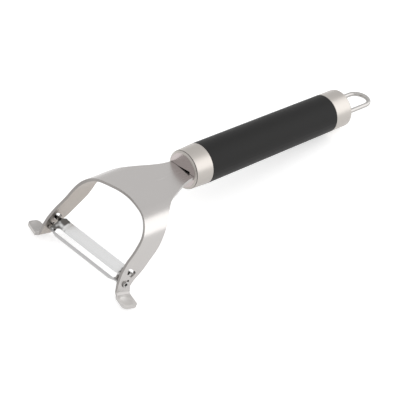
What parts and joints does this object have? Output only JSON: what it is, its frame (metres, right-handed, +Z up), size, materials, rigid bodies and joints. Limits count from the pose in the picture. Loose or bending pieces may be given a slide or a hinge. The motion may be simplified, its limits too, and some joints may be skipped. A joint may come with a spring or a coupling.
{
  "type": "vegetable peeler",
  "caption": "Y-shaped vegetable peeler: swivelling slotted blade in a bent sheet yoke, round two-metal-collar grip and wire hanging loop",
  "frame": {"origin": "middle of the footprint, on the table the peeler rests on", "axes": "+Y from the blade to the hanging loop, +Z up, +X to the right seen from the loop end"},
  "size_m": [0.0778, 0.1974, 0.0351],
  "materials": {
    "yoke_steel": "satin rolled stainless steel sheet",
    "blade_steel": "ground stainless steel strip",
    "plug_steel": "satin turned steel",
    "collar_steel": "satin brushed steel",
    "hidden_steel": "plain steel, hidden",
    "grip_plastic": "black satin moulded plastic",
    "anchor_plastic": "black moulded plastic, hidden",
    "loop_steel": "polished steel wire"
  },
  "bodies": {
    "handle": {"yoke": "yoke_steel", "front_plug": "plug_steel", "tang_pins": "hidden_steel", "front_ferrule": "collar_steel", "core_tube": "hidden_steel", "grip_sleeve": "grip_plastic", "rear_cap": "collar_steel", "loop_anchor": "anchor_plastic", "hanging_loop": "loop_steel"},
    "blade": {"blade": "blade_steel"}
  },
  "joints": [
    {"name": "blade_swivel", "type": "hinge", "parent": "handle", "child": "blade", "pos_m": [0.00033, -0.09008, 0.00726], "axis": [1, 0, 0], "range_deg": [-18, 3]}
  ]
}
